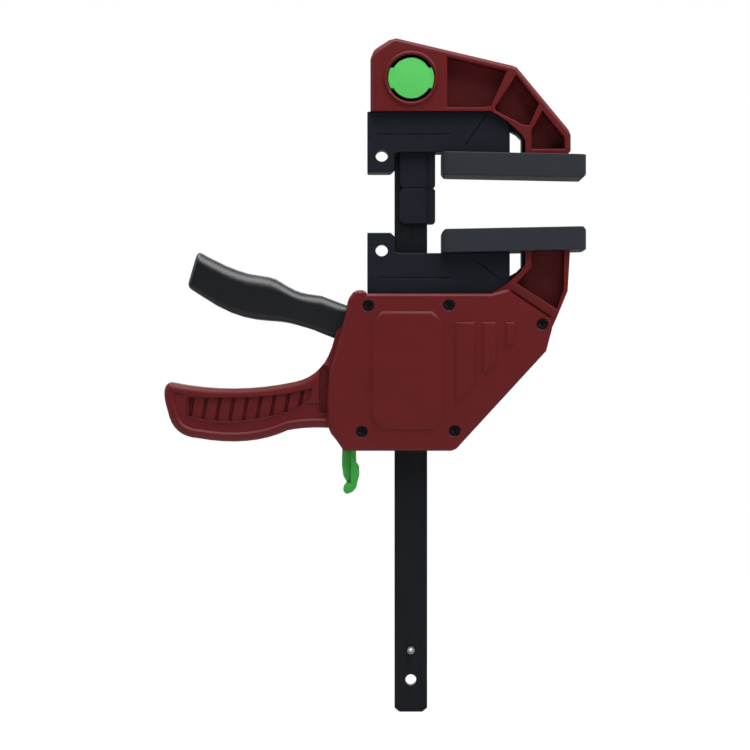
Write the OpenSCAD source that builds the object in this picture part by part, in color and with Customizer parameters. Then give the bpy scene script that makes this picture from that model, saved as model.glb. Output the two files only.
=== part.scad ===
// Quick release bar clamp: a fixed jaw at the top of a flat steel bar, and a moving
// jaw that a squeeze lever walks up the bar and a small trigger lets go.
// X runs out along the jaws, Y runs away from the front, Z runs up the bar.
// The origin is the middle of the hole at the bar's foot.

/* [Bar] */
// Width of the steel bar, seen from the front
bar_w = 21; // [19.5:0.5:22.5]
// Thickness of the bar
bar_t = 8; // [7:0.25:9]
// Length of the bar from end to end
bar_len = 424; // [400:1:480]
// Distance from the bar's foot to its end hole
foot_end = 20.5; // [17:0.5:24]
// Distance from the bar's top to the hole that the fixed jaw locks in
top_end = 18.2; // [15:0.2:19]
// Width of the holes near the bar's ends
bar_hole_d = 7; // [6:0.25:8]
// Cut across each bottom corner of the bar
bar_corner = 3.2; // [1:0.2:5]
// Width of the stop pin above the end hole
stop_pin_d = 5; // [4:0.25:6]
// Height of the stop pin above the end hole
stop_pin_rise = 19.2; // [15:0.2:24]
// How far the stop pin stands out of each side of the bar
stop_pin_proud = 3; // [2:0.25:4]

/* [Jaws] */
// Opening between the pads at the bar's end of them, as drawn
jaw_gap = 34.5; // [30:0.5:60]
// How far each pad leans in at its tip
toe_in = 1.8; // [0:0.1:3]
// Length of a pad, out along the jaw
pad_len = 92; // [84:1:96]
// Width of a pad, front to back
pad_w = 38; // [34:1:44]
// Thickness of a pad
pad_t = 15; // [12:0.5:18]
// Gap between the bar's side and the pad
pad_gap = 9.1; // [8:0.2:12]
// Round of a pad's upright corners
pad_corner = 4; // [2:0.5:6]
// Height of a bracket between its pad and its arm
bracket_h = 26; // [24:0.2:29]
// Thickness of a bracket, front to back
bracket_t = 22; // [20:0.5:25]
// Thickness of a bracket's thin end beside the arm's flange
bracket_thin = 14; // [10:0.5:16]
// Width of the bracket's ear behind the bar
ear_w = 17.5; // [15:0.5:21]
// How far the ear stands towards the other jaw
ear_h = 13; // [10:0.5:15]
// Width of the hole through the ear
ear_hole_d = 8; // [6:0.25:9]

/* [Fixed jaw arm] */
// Reach of both arms from the middle of the bar
arm_reach = 102; // [97:0.5:108]
// Height of the fixed arm over its flat underside
arm_h = 46.6; // [44:0.2:52]
// Thickness of both arms, front to back
arm_t = 30; // [28:0.5:34]
// Thickness of the web between an arm's pockets
arm_web = 6; // [4:0.5:9]
// Height of the button's middle over the arm's underside
hub_rise = 20.9; // [20:0.2:22]
// Width of the round release button
button_d = 29.4; // [28:0.2:31]
// Width of the ring that stands proud round the button
hub_d = 35; // [34:0.2:37]
// How far the ring stands proud at the front
hub_proud = 1.5; // [0.8:0.1:2.5]
// How far the button travels when it is pressed
button_travel = 5.5; // [4.5:0.1:5.5]

/* [Body] */
// Height of the body from its underside to its top edge
body_h = 100.6; // [98:0.2:108]
// Thickness of the body, front to back
body_t = 38; // [37:0.5:44]
// Wall behind the body's front and back faces
body_wall = 3; // [2.5:0.1:3.5]
// How far the label panel and the three bars stand proud
panel_proud = 1.2; // [0.6:0.1:2]
// Reach of the handle's tip from the middle of the bar
grip_reach = 158; // [152:1:166]
// Thickness of the handle, front to back
handle_t = 28; // [26:0.5:32]
// Depth of the ribbed recess in each side of the handle
recess_deep = 2.4; // [1.5:0.1:3]
// Number of ribs in that recess
rib_count = 9; // [6:1:12]
// Width of a cover screw's head
screw_head_d = 7; // [6:0.2:7.6]
// Width of a cover screw's shank
screw_d = 3.6; // [3:0.1:4.2]

/* [Squeeze lever] */
// Thickness of the lever's grip
lever_t = 24; // [20:0.5:27]
// Thickness of the lever where it runs into the body
lever_neck_t = 18; // [15:0.5:19]
// Width of the lever's pivot pin
lever_pin_d = 5; // [4:0.25:6]
// Distance from the pivot to the nose that pushes the drive plates
nose_arm = 13.5; // [12.5:0.25:14]
// Number of turns of the drive spring
drive_turns = 5; // [4:1:7]
// Thickness of each drive plate
drive_plate_t = 3; // [2.5:0.1:3.2]

/* [Release trigger] */
// Thickness of each brake plate
brake_plate_t = 3; // [2.5:0.1:3.2]
// Tilt of the brake plates while they hold the bar, in degrees
brake_tilt_deg = 8; // [6:0.5:9]
// Width of the trigger's pivot pin
trigger_pin_d = 4; // [3:0.25:5]
// Width of the trigger, front to back
trigger_w = 26.4; // [25.4:0.2:28]

/* [Hidden] */
$fn = 48;

// Named clearances and the overrun of every cut
run_gap = 0.05;
slide_gap = 0.4;
flat_gap = 0.1;
side_gap = 0.6;
cut = 2;

// Heights that everything hangs on
bar_top = bar_len - foot_end;
button_z = bar_top - top_end;
arm_z = button_z - hub_rise;
half_gap = jaw_gap / 2;
pad_back = half_gap + pad_t;
arm_w = pad_back + bracket_h;
mid_z = arm_z - arm_w;
body_top = mid_z - arm_w;
body_foot = body_top - body_h;

// Places along the jaws
pad_x0 = bar_w / 2 + pad_gap;
pad_x1 = pad_x0 + pad_len;
ear_x = bar_w / 2 + ear_w;
flange_x = 0.716 * arm_reach;
plate_x = 0.62 * arm_reach;
strip_x = 0.971 * flange_x;
ear_in = pad_back - ear_h;
ear_hole_x = bar_w / 2 + 0.47 * ear_w;
ear_hole_in = pad_back - 0.15 * ear_h;

// Clips on the bar
clip_cheek = 2.5;
clip_spine = 5.1;
clip_reach = 0.7 * bar_w / 2;
clip_h = 0.66 * jaw_gap;
clip_split = 0.275 * jaw_gap;

// Tongue of a bracket inside its arm, and the rail that carries its pad
tongue_h = 5;
tongue_t = 16;
tongue_x0 = 0.95 * bar_w;
tongue_x1 = 0.88 * bar_w;
rail_t = 12;
rail_h = 5;
rail_in = 6;
rail_x0 = pad_x0 + rail_in;
rail_x1 = plate_x - rail_in;

// Button, lock plate and lock pin, front to back
hub_rear = 4;
button_skin = 5;
button_sunk = 0.9;
button_rim = 5;
button_face_share = 0.88;
leg_w = 13;
lock_plate_t = 2.5;
lock_plate_gap = 2;
lock_clear = 0.5;
lock_plate_y = bar_t / 2 + lock_plate_gap;
lock_tip_y = bar_t / 2 - button_travel + lock_clear;
cap_t = 2;
cap_y = arm_t / 2 + hub_rear - cap_t;
button_bore_d = button_d + side_gap;

// Lever pivot, nose and the plates below it
pivot_out = 8;
pivot_share = 0.803;
pivot_x = -(bar_w / 2 + pivot_out);
pivot_z = body_foot + pivot_share * body_h;
lever_boss_r = 7;
nose_x = pivot_x - nose_arm;
nose_r = 7;
plate_gap = 0.3;
drive_plate_count = 3;
drive_top = pivot_z - nose_r - plate_gap;
drive_foot = drive_top - drive_plate_count * drive_plate_t;
drive_lip = 1;
drive_side = 9.5;
drive_x0 = nose_x - drive_lip;
drive_x1 = bar_w / 2 + drive_side;
drive_half = 12;

// Brake pivot and plates
brake_out = 10.5;
brake_share = 0.207;
brake_tail = 14.5;
brake_side = 6.5;
brake_x = bar_w / 2 + brake_out;
brake_z = body_foot + brake_share * body_h;
brake_x0 = -(bar_w / 2 + brake_tail);
brake_x1 = bar_w / 2 + brake_side;
brake_half = 10;
brake_slot_gap = 1;

// Springs
wire_r = 1;
button_wire_r = 0.45;
button_spring_r = 5.9;
button_turns = 3;
spring_clear = 0.95;
drive_spring_r = norm([bar_w, bar_t]) / 2 + wire_r + spring_clear;
seat_t = 2;
web_share = 0.326;
floor_share = 0.048;
ceiling_share = 0.952;
web_z = body_foot + web_share * body_h;
web_t = 3;
seat_top = web_z + web_t + seat_t;
floor_z = body_foot + floor_share * body_h;
ceiling_z = body_foot + ceiling_share * body_h;

// Inside of the body
room_half = body_t / 2 - body_wall;
room_side = 15.5;
room_x0 = -0.234 * grip_reach;
room_x1 = bar_w / 2 + room_side;
boss_r = 4.5;
lever_post_wall = 3;
trigger_post_wall = 2;
pin_half = room_half + body_wall / 2;
neck_half = lever_neck_t / 2 + side_gap;
channel_deep = 3;
trigger_half = trigger_w / 2;

// Places of the five cover screws, as shares of the reach on their side and of the body's height
screw_shares = [[-0.173, 0.921], [0.236, 0.926], [0.819, 0.805], [-0.199, 0.123], [0.272, 0.129]];
screw_sunk = 0.4;
screw_head_h = 2.6;
screw_short = 6;
screw_len = body_t - screw_short;

// The brake spring stands between the lower left screw's boss and the bar
brake_spring_share = 0.422;
brake_spring_r = 3;
brake_turns = 5;
boss_edge = screw_shares[3][0] * grip_reach + boss_r;
brake_spring_x = boss_edge - brake_spring_share * (bar_w / 2 + boss_edge);
brake_spring_top = brake_z - brake_plate_t * cos(brake_tilt_deg) - plate_gap
    + (brake_x - brake_spring_x - brake_spring_r - wire_r) * sin(brake_tilt_deg);

// Outlines as shares. A share left of the bar is of grip_reach, a share right of it is of
// arm_reach, and the second number is of the height that the outline belongs to.
cover_top_shares = [[0.5, 1], [-0.18, 1], [-0.182, 1.02], [-0.228, 1.02], [-0.256, 0.96]];
cover_left_shares = [[-0.26, 0.9], [-0.285, 0.747], [-0.33, 0.493], [-0.34, 0.36], [-0.339, 0.22],
    [-0.33, 0.123], [-0.302, 0.07], [-0.272, 0.002]];
cover_right_shares = [[0.27, 0.002], [0.843, 0.634], [0.88, 0.776], [0.87, 0.832], [0.6, 1.025]];
handle_root_shares = [[-0.2, 0.9], [-0.3, 0.76]];
handle_web_shares = [[-0.31, 0.715], [-0.345, 0.48], [-0.47, 0.44]];
handle_top_shares = [[-0.47, 0.44], [-0.72, 0.355], [-0.972, 0.437]];
handle_tip_shares = [[-0.972, 0.437], [-1.02, 0.42], [-0.985, 0.25]];
handle_nose_shares = [[-0.985, 0.25], [-0.965, 0.09], [-0.863, 0.08]];
handle_low_shares = [[-0.863, 0.08], [-0.65, 0.02], [-0.5, 0.13]];
handle_heel_shares = [[-0.5, 0.13], [-0.42, 0.155], [-0.33, 0.145]];
hollow_shares = [[-0.94, 0.36], [-0.82, 0.33], [-0.63, 0.335], [-0.48, 0.37], [-0.4, 0.42],
    [-0.385, 0.24], [-0.5, 0.19], [-0.63, 0.15], [-0.75, 0.125], [-0.88, 0.15], [-0.94, 0.24]];
recess_top_shares = [[-0.4, 0.4], [-0.58, 0.32], [-0.9, 0.344]];
recess_low_shares = [[-0.9, 0.22], [-0.72, 0.14], [-0.475, 0.26]];
recess_end_shares = [[-0.411, 0.33]];
channel_shares = [[-0.371, 0.545], [-0.334, 0.545], [-0.334, 0.24], [-0.361, 0.24], [-0.371, 0.265]];
side_room_shares = [[0.33, 0.21], [0.33, 0.945], [0.5, 0.945], [0.575, 0.965], [0.74, 0.86],
    [0.78, 0.66], [0.38, 0.2]];
panel_shares = [[-0.162, 0.14], [0.201, 0.885]];
panel_cut_share = 0.07;
// Left edge, right edge, and the lower ends at both, of the three raised bars
raised_bar_shares = [[0.275, 0.398, 0.28, 0.43], [0.443, 0.532, 0.481, 0.556],
    [0.588, 0.644, 0.64, 0.692]];
raised_bar_top_share = 0.816;
neck_start_share = -0.386;
lever_top_shares = [[-0.862, 1.272], [-0.71, 1.13], [-0.56, 1.103]];
lever_step_shares = [[-0.56, 1.103], [-0.47, 0.995], [neck_start_share, 0.994]];
lever_in_shares = [[-0.25, 0.919], [-0.218, 0.888], [-0.184, 0.861]];
lever_neck_shares = [[-0.24, 0.785], [-0.272, 0.763], [-0.305, 0.712]];
lever_low_shares = [[neck_start_share, 0.77], [-0.46, 0.82], [-0.58, 0.828]];
lever_sweep_shares = [[-0.58, 0.828], [-0.75, 0.85], [-0.865, 0.995]];
lever_tip_shares = [[-0.887, 1.02], [-0.897, 1.05], [-0.9, 1.09], [-0.87, 1.265]];
trigger_low_shares = [[-0.241, 0.05], [-0.224, 0.02], [-0.222, -0.08], [-0.211, -0.1],
    [-0.21, -0.16], [-0.217, -0.198], [-0.221, -0.232], [-0.238, -0.262], [-0.262, -0.275],
    [-0.274, -0.255], [-0.274, -0.229], [-0.259, -0.198], [-0.274, -0.158], [-0.28, -0.09]];

// A share of the reach on its own side, and a share of the body's height, as a point
function body_point(p) = [p[0] < 0 ? p[0] * grip_reach : p[0] * arm_reach, body_foot + p[1] * body_h];
function body_points(shares) = [for (p = shares) body_point(p)];

// A smooth bend from the first of three points to the last, drawn towards the middle one
function bend(p, steps = 8) = [for (i = [0:steps]) let (t = i / steps)
    (1 - t) * (1 - t) * p[0] + 2 * t * (1 - t) * p[1] + t * t * p[2]];

// Jaw outlines are given outwards from the middle of the opening; side is 1 above, -1 below
function jaw_points(points, side) = [for (p = points) [p[0], mid_z + side * p[1]]];
function lean(x) = toe_in * (x - pad_x0) / pad_len;

// The line of the arms that the brackets lie against, from the bar outwards
inner_line = [[0.5 * arm_reach, arm_w], [0.6 * arm_reach, arm_w - 0.24 * bracket_h],
    [0.692 * arm_reach, arm_w - 0.56 * bracket_h], [flange_x, arm_w - 0.72 * bracket_h],
    [flange_x, pad_back - lean(flange_x)]];

// An outline in the XZ plane given thickness from y0 to y1
module slab(y0, y1) {
    translate([0, y1, 0]) rotate([90, 0, 0]) linear_extrude(y1 - y0) children();
}

// A round solid along Y
module rod(x, z, d, y0, y1) {
    translate([x, y1, z]) rotate([90, 0, 0]) cylinder(d = d, h = y1 - y0);
}

// A box from two corners
module block(low, high) {
    translate(low) cube(high - low);
}

// The space that the bar needs in a piece that it runs through
module bar_space(z0, z1, gap = slide_gap) {
    block([-bar_w / 2 - gap, -bar_t / 2 - gap, z0], [bar_w / 2 + gap, bar_t / 2 + gap, z1]);
}

// A coil of round wire standing on Z, as one unbroken tube with flat-lying ends
module coil(r, wire, z0, z1, turns, steps = 14, sides = 6) {
    count = turns * steps;
    rise = z1 - z0 - 2 * wire;
    points = [for (i = [0:count], k = [0:sides - 1]) let (
        a = 360 * i / steps,
        b = 360 * k / sides,
        ring = r + wire * cos(b),
        z = z0 + wire + rise * i / count + wire * sin(b))
        [ring * cos(a), ring * sin(a), z]];
    walls = [for (i = [0:count - 1], k = [0:sides - 1]) let (
        p = i * sides + k,
        q = i * sides + (k + 1) % sides)
        each [[p, q, q + sides], [p, q + sides, p + sides]]];
    ends = concat([for (k = [1:sides - 2]) [0, k + 1, k]],
        [for (k = [1:sides - 2]) [count * sides, count * sides + k, count * sides + k + 1]]);
    polyhedron(points = points, faces = concat(walls, ends), convexity = 10);
}

module bar() {
    foot = -foot_end;
    half = bar_w / 2;
    color("#1d2027") difference() {
        slab(-bar_t / 2, bar_t / 2) polygon([[-half, bar_top], [-half, foot + 0.8 * bar_corner],
            [-half + bar_corner, foot], [half - bar_corner, foot], [half, foot + 0.8 * bar_corner],
            [half, bar_top]]);
        for (z = [0, button_z]) rod(0, z, bar_hole_d, -bar_t / 2 - cut, bar_t / 2 + cut);
        rod(0, stop_pin_rise, stop_pin_d, -bar_t / 2 - cut, bar_t / 2 + cut);
    }
}

// A rolled spring pin, hollow
module bar_stop_pin() {
    color("#2b2e34") difference() {
        rod(0, stop_pin_rise, stop_pin_d - 2 * run_gap, -bar_t / 2 - stop_pin_proud,
            bar_t / 2 + stop_pin_proud);
        rod(0, stop_pin_rise, stop_pin_d / 2, -bar_t - cut, bar_t + cut);
    }
}

// A clip that grips the bar from its right side, between z0 and z1
module bar_clip(z0, z1) {
    half = bar_t / 2 + clip_cheek;
    left = -clip_reach;
    right = bar_w / 2 + clip_spine;
    nick = clip_cheek;
    color("#191c23") difference() {
        slab(-half, half) polygon([[left, z0 + nick], [left + nick, z0], [right - nick / 2, z0],
            [right, z0 + nick / 2], [right, z1 - nick / 2], [right - nick / 2, z1], [left + nick, z1],
            [left, z1 - nick]]);
        block([left - cut, -bar_t / 2 - run_gap, z0 - cut], [bar_w / 2 + run_gap, bar_t / 2 + run_gap,
            z1 + cut]);
    }
}

module bar_clip_upper() {
    bar_clip(mid_z + clip_split + plate_gap, mid_z + pad_back + 0.3 * clip_h);
}

module bar_clip_lower() {
    bar_clip(mid_z + clip_split - clip_h, mid_z + clip_split);
}

// The black bracket that carries a pad: side is 1 for the fixed jaw and -1 for the moving one
module jaw_bracket(side) {
    step = clip_cheek;
    thin_x = 0.4 * arm_reach;
    window_top_x = plate_x + 0.6 * (strip_x - plate_x);
    plate = concat([[-ear_x, arm_w], [-ear_x, ear_in], [-bar_w / 2 - step, ear_in],
        [-bar_w / 2, ear_in + step], [-bar_w / 2, pad_back - step / 2], [-bar_w / 2 + step, pad_back],
        [pad_x0, pad_back], [plate_x, pad_back - lean(plate_x)],
        [plate_x, arm_w - 0.32 * bracket_h], inner_line[1], inner_line[0]]);
    thin = concat([[thin_x, arm_w], [thin_x, pad_back - lean(thin_x)],
        [flange_x, pad_back - lean(flange_x)]], [for (i = [3:-1:0]) inner_line[i]]);
    window = [[plate_x, pad_back - cut - lean(plate_x)], [strip_x, pad_back - cut - lean(strip_x)],
        [strip_x, pad_back + 0.34 * bracket_h], [window_top_x, pad_back + 0.46 * bracket_h],
        [plate_x, pad_back + 0.56 * bracket_h]];
    rail = [[rail_x0, pad_back + cut], [rail_x0, pad_back - rail_h - lean(rail_x0)],
        [rail_x1, pad_back - rail_h - lean(rail_x1)], [rail_x1, pad_back + cut]];
    tongue = [[-tongue_x0, arm_w - cut], [tongue_x1, arm_w - cut], [tongue_x1, arm_w + tongue_h],
        [-tongue_x0, arm_w + tongue_h]];
    pocket_z0 = mid_z + side * (pad_back - cut);
    pocket_z1 = mid_z + side * (pad_back + 0.48 * bracket_h);
    pocket_half = bar_t / 2 + clip_cheek + slide_gap;
    color("#1b1f27") difference() {
        union() {
            slab(-bracket_t / 2, bracket_t / 2) polygon(jaw_points(plate, side));
            slab(-bracket_thin / 2, bracket_thin / 2) polygon(jaw_points(thin, side));
            slab(-tongue_t / 2, tongue_t / 2) polygon(jaw_points(tongue, side));
            slab(-rail_t / 2, rail_t / 2) polygon(jaw_points(rail, side));
        }
        bar_space(mid_z - side * cut - arm_w * 2, mid_z + arm_w * 2);
        block([-clip_reach - slide_gap, -pocket_half, min(pocket_z0, pocket_z1)],
            [bar_w / 2 + clip_spine + slide_gap, pocket_half, max(pocket_z0, pocket_z1)]);
        rod(-ear_hole_x, mid_z + side * ear_hole_in, ear_hole_d, -bracket_t, bracket_t);
        slab(-bracket_t, bracket_t) polygon(jaw_points(window, side));
    }
}

// A pad with rounded upright corners, open at the back for the bracket's rail
module jaw_pad(side) {
    nick = pad_corner / 2;
    tip = half_gap - toe_in;
    slot_x0 = rail_x0 - flat_gap;
    slot_x1 = rail_x1 + flat_gap;
    slot_in = pad_back - rail_h - flat_gap;
    outline = [[pad_x0, pad_back], [pad_x0, half_gap + nick],
        [pad_x0 + nick, half_gap - lean(pad_x0 + nick)], [pad_x1 - nick, tip + lean(pad_x0 + nick)],
        [pad_x1, tip + nick], [pad_x1, pad_back - toe_in]];
    slot = [[slot_x0, pad_back + cut], [slot_x0, slot_in - lean(rail_x0)],
        [slot_x1, slot_in - lean(rail_x1)], [slot_x1, pad_back + cut]];
    color("#1a1e25") difference() {
        intersection() {
            slab(-pad_w / 2, pad_w / 2) polygon(jaw_points(outline, side));
            translate([0, 0, mid_z - pad_back - cut]) linear_extrude(2 * pad_back + 2 * cut) pad_plan();
        }
        slab(-rail_t / 2 - flat_gap, rail_t / 2 + flat_gap) polygon(jaw_points(slot, side));
    }
}

module pad_plan() {
    r = pad_corner;
    translate([pad_x0 + r, -pad_w / 2]) square([pad_len - 2 * r, pad_w]);
    translate([pad_x0, -pad_w / 2 + r]) square([pad_len, pad_w - 2 * r]);
    for (x = [pad_x0 + r, pad_x1 - r], y = [-pad_w / 2 + r, pad_w / 2 - r]) translate([x, y]) circle(r);
}

module fixed_jaw_bracket() {
    jaw_bracket(1);
}

module moving_jaw_bracket() {
    jaw_bracket(-1);
}

module fixed_jaw_pad() {
    jaw_pad(1);
}

module moving_jaw_pad() {
    jaw_pad(-1);
}

// Fixed arm: shares of arm_reach, and of arm_h over the flat underside
arm_outline_shares = [[-0.255, 0], [-0.255, 0.777], [-0.223, 0.854], [-0.138, 0.974], [-0.093, 1],
    [0.637, 0.624], [0.663, 0.6], [0.985, -0.25], [1, -0.33]];
arm_pocket_shares = [
    [[0.227, 0.742], [0.6, 0.552], [0.5, 0.07], [0.465, 0.05], [0.227, 0.05]],
    [[0.658, 0.49], [0.8, 0.1], [0.738, -0.2], [0.7, -0.19], [0.53, 0], [0.527, 0.054]],
    [[0.823, 0], [0.957, -0.36], [0.962, -0.52], [0.755, -0.52], [0.755, -0.26]]];

function arm_points(shares) = [for (p = shares) [p[0] * arm_reach, arm_w + p[1] * arm_h]];

module fixed_jaw_arm() {
    foot = [[arm_reach, pad_back - lean(arm_reach)]];
    outline = concat(arm_points(arm_outline_shares), foot, [for (i = [4:-1:0]) inner_line[i]]);
    front = -arm_t / 2 - hub_proud;
    rear = arm_t / 2 + hub_rear;
    color("#7a2229") difference() {
        union() {
            slab(-arm_t / 2, arm_t / 2) polygon(jaw_points(outline, 1));
            rod(0, button_z, hub_d, front, rear);
        }
        for (shares = arm_pocket_shares) {
            slab(-arm_t, -arm_web / 2) polygon(jaw_points(arm_points(shares), 1));
            slab(arm_web / 2, arm_t) polygon(jaw_points(arm_points(shares), 1));
        }
        bar_space(arm_z - cut, bar_top + flat_gap, flat_gap);
        block([-tongue_x0 - flat_gap, -tongue_t / 2 - flat_gap, arm_z - cut],
            [tongue_x1 + flat_gap, tongue_t / 2 + flat_gap, arm_z + tongue_h + flat_gap]);
        rod(0, button_z, button_bore_d, front - cut, rear + cut);
    }
}

module button_spring() {
    color("#9a9da3") translate([0, 0, button_z]) rotate([-90, 0, 0])
        coil(button_spring_r, button_wire_r, lock_plate_y + lock_plate_t + flat_gap,
            cap_y - flat_gap, button_turns, 16);
}

// A cap that shuts the button's bore at the back and carries its spring
module button_rear_cap() {
    color("#1b1f27") rod(0, button_z, button_bore_d, cap_y, cap_y + cap_t);
}

// The round button with a leg on each side of the bar
module release_button() {
    front = -arm_t / 2 - hub_proud + button_sunk;
    leg_x0 = bar_w / 2 + 2 * slide_gap;
    color("#52c95a") {
        difference() {
            rod(0, button_z, button_face_share * button_d, front, front + button_skin);
            rod(0, button_z, button_d - 2 * button_rim, front + button_skin / 2,
                front + button_skin + cut);
        }
        for (side = [-1, 1]) intersection() {
            rod(0, button_z, button_d, front, lock_plate_y);
            block([min(side * leg_x0, side * button_d), front, button_z - leg_w / 2],
                [max(side * leg_x0, side * button_d), lock_plate_y, button_z + leg_w / 2]);
        }
    }
}

module lock_plate() {
    color("#8c9096") intersection() {
        rod(0, button_z, button_d, lock_plate_y, lock_plate_y + lock_plate_t);
        block([-button_d, 0, button_z - leg_w / 2], [button_d, bar_t * 2, button_z + leg_w / 2]);
    }
}

module lock_pin() {
    color("#a4a7ac") rod(0, button_z, bar_hole_d - 2 * run_gap, lock_tip_y, lock_plate_y);
}

// Outline of the body's proud covers
cover_outline = concat(body_points(cover_top_shares), body_points(cover_left_shares),
    body_points(cover_right_shares));

// Outline of the handle, running into the covers
handle_outline = concat(body_points(handle_root_shares), bend(body_points(handle_web_shares)),
    bend(body_points(handle_top_shares)), bend(body_points(handle_tip_shares)),
    bend(body_points(handle_nose_shares)), bend(body_points(handle_low_shares)),
    bend(body_points(handle_heel_shares)), body_points([[-0.2, 0.145]]));

// Outline of the lower arm, from the seam in the covers to the pad
low_arm_outline = concat([for (p = inner_line) [p[0], mid_z - p[1]]],
    [[0.995 * arm_reach, mid_z - pad_back + lean(0.995 * arm_reach)]],
    body_points([[0.98, 1.015], [0.92, 0.868], [0.88, 0.776], [0.8, 0.75], [0.45, 0.95]]));
low_arm_pocket = concat([for (p = [[0.755, 0.64], [0.755, 1.2], [0.958, 1.2]])
    [p[0] * arm_reach, body_top + p[1] * bracket_h]],
    body_points([[0.953, 1.02], [0.912, 0.9], [0.66, 1.065]]));

function screw_place(i) = body_point(screw_shares[i]);

module handle_recess() {
    depth = handle_t / 2;
    outline = concat(bend(body_points(recess_top_shares)), bend(body_points(recess_low_shares)),
        body_points(recess_end_shares));
    first = -0.883 * grip_reach;
    pitch = 0.493 * grip_reach / rib_count;
    rib = 0.78 * pitch;
    slant = 0.02 * grip_reach;
    low = body_foot + 0.1 * body_h;
    high = body_foot + 0.45 * body_h;
    difference() {
        slab(-depth - cut, -depth + recess_deep) polygon(outline);
        slab(-depth + recess_deep / 3, -depth + recess_deep + cut)
            for (i = [0:rib_count - 1]) translate([first + i * pitch, 0])
                polygon([[-slant, low], [rib - slant, low], [rib + slant, high], [slant, high]]);
    }
}

// Room inside the body for the lever, the plates, the springs and the trigger
module body_rooms() {
    slab(-room_half, cut) {
        polygon([[room_x0, web_z + web_t], [room_x1, web_z + web_t], [room_x1, ceiling_z],
            [room_x0, ceiling_z]]);
        polygon([[room_x0, floor_z], [room_x1, floor_z], [room_x1, web_z], [room_x0, web_z]]);
    }
    slab(-room_half - body_wall / 6, cut) polygon(body_points(side_room_shares));
    slab(-neck_half, cut) polygon(body_points([[-0.2, 0.938], [-0.39, 0.938], [-0.39, 0.585],
        [-0.33, 0.56], [-0.2, 0.56]]));
    slab(-trigger_half - side_gap, cut) polygon(body_points([[-0.294, -0.1], [-0.193, -0.1],
        [-0.193, 0.048], [-0.13, 0.048], [-0.13, 0.326], [-0.228, 0.35], [-0.302, 0.35],
        [-0.302, 0.048]]));
    slab(-handle_t / 2 + recess_deep + 1.2 * body_wall, cut) polygon(body_points(hollow_shares));
    bar_space(body_foot - cut, body_top + bracket_h);
    block([-tongue_x0 - flat_gap, -tongue_t / 2 - flat_gap, body_top - tongue_h - flat_gap],
        [tongue_x1 + flat_gap, cut, body_top + cut]);
    handle_recess();
}

module half_shell() {
    front = -body_t / 2;
    low = body_point(panel_shares[0]);
    high = body_point(panel_shares[1]);
    nip = panel_cut_share * body_h;
    difference() {
        union() {
            slab(front, 0) polygon(cover_outline);
            difference() {
                slab(-handle_t / 2, 0) polygon(handle_outline);
                slab(-handle_t / 2 - cut, -handle_t / 2 + channel_deep)
                    polygon(body_points(channel_shares));
            }
            slab(-arm_t / 2, 0) polygon(low_arm_outline);
            slab(front - panel_proud, front + panel_proud) {
                polygon([[low[0] + nip, low[1]], [high[0] - nip, low[1]], [high[0], low[1] + nip],
                    [high[0], high[1] - nip], [high[0] - nip, high[1]], [low[0] + nip, high[1]],
                    [low[0], high[1] - nip], [low[0], low[1] + nip]]);
                for (s = raised_bar_shares)
                    polygon(body_points([[s[0], raised_bar_top_share], [s[0], s[2]], [s[1], s[3]],
                        [s[1], raised_bar_top_share]]));
            }
        }
        body_rooms();
        slab(-arm_t, -arm_web / 2) polygon(low_arm_pocket);
    }
    for (i = [0:len(screw_shares) - 1]) let (p = screw_place(i))
        rod(p[0], p[1], 2 * boss_r, -room_half - body_wall / 2, 0);
    pivot_post(pivot_x, pivot_z, lever_pin_d + 2 * lever_post_wall, lever_neck_t / 2 + plate_gap);
    pivot_post(brake_x, brake_z, trigger_pin_d + 2 * trigger_post_wall, trigger_half + plate_gap);
}

// A post inside a shell that holds one end of a pivot pin
module pivot_post(x, z, d, y) {
    rod(x, z, d, -room_half - body_wall / 2, -y);
}

module pin_bores() {
    rod(pivot_x, pivot_z, lever_pin_d + 2 * run_gap, -pin_half - flat_gap, cut);
    rod(brake_x, brake_z, trigger_pin_d + 2 * run_gap, -pin_half - flat_gap, cut);
}

module front_shell() {
    front = -body_t / 2;
    color("#6f1f27") difference() {
        half_shell();
        pin_bores();
        for (i = [0:len(screw_shares) - 1]) let (p = screw_place(i)) {
            rod(p[0], p[1], screw_head_d + 2 * flat_gap, front - cut, front + screw_sunk + screw_head_h);
            rod(p[0], p[1], screw_d + 2 * run_gap, front, cut);
        }
    }
}

module rear_shell() {
    front = -body_t / 2;
    color("#6f1f27") difference() {
        mirror([0, 1, 0]) difference() {
            half_shell();
            pin_bores();
        }
        for (i = [0:len(screw_shares) - 1]) let (p = screw_place(i))
            rod(p[0], p[1], screw_d + 2 * run_gap, -cut, front + screw_sunk + screw_len + flat_gap);
    }
}

// Five cover screws with a cross recess
module cover_screws() {
    front = -body_t / 2 + screw_sunk;
    slot = screw_head_d / 8;
    color("#23262c") for (i = [0:len(screw_shares) - 1]) let (p = screw_place(i)) {
        difference() {
            union() {
                rod(p[0], p[1], screw_head_d, front, front + screw_head_h);
                rod(p[0], p[1], screw_d, front, front + screw_len);
            }
            for (a = [0, 90]) translate([p[0], front, p[1]]) rotate([0, a, 0])
                block([-screw_head_d / 3.4, -cut, -slot / 2],
                    [screw_head_d / 3.4, screw_head_h / 2, slot / 2]);
        }
    }
}

module lever_pin() {
    color("#a4a7ac") rod(pivot_x, pivot_z, lever_pin_d, -pin_half, pin_half);
}

module trigger_pin() {
    color("#a4a7ac") rod(brake_x, brake_z, trigger_pin_d, -pin_half, pin_half);
}

module drive_spring() {
    color("#9a9da3") coil(drive_spring_r, wire_r, seat_top + flat_gap, drive_foot - flat_gap, drive_turns);
}

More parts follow.
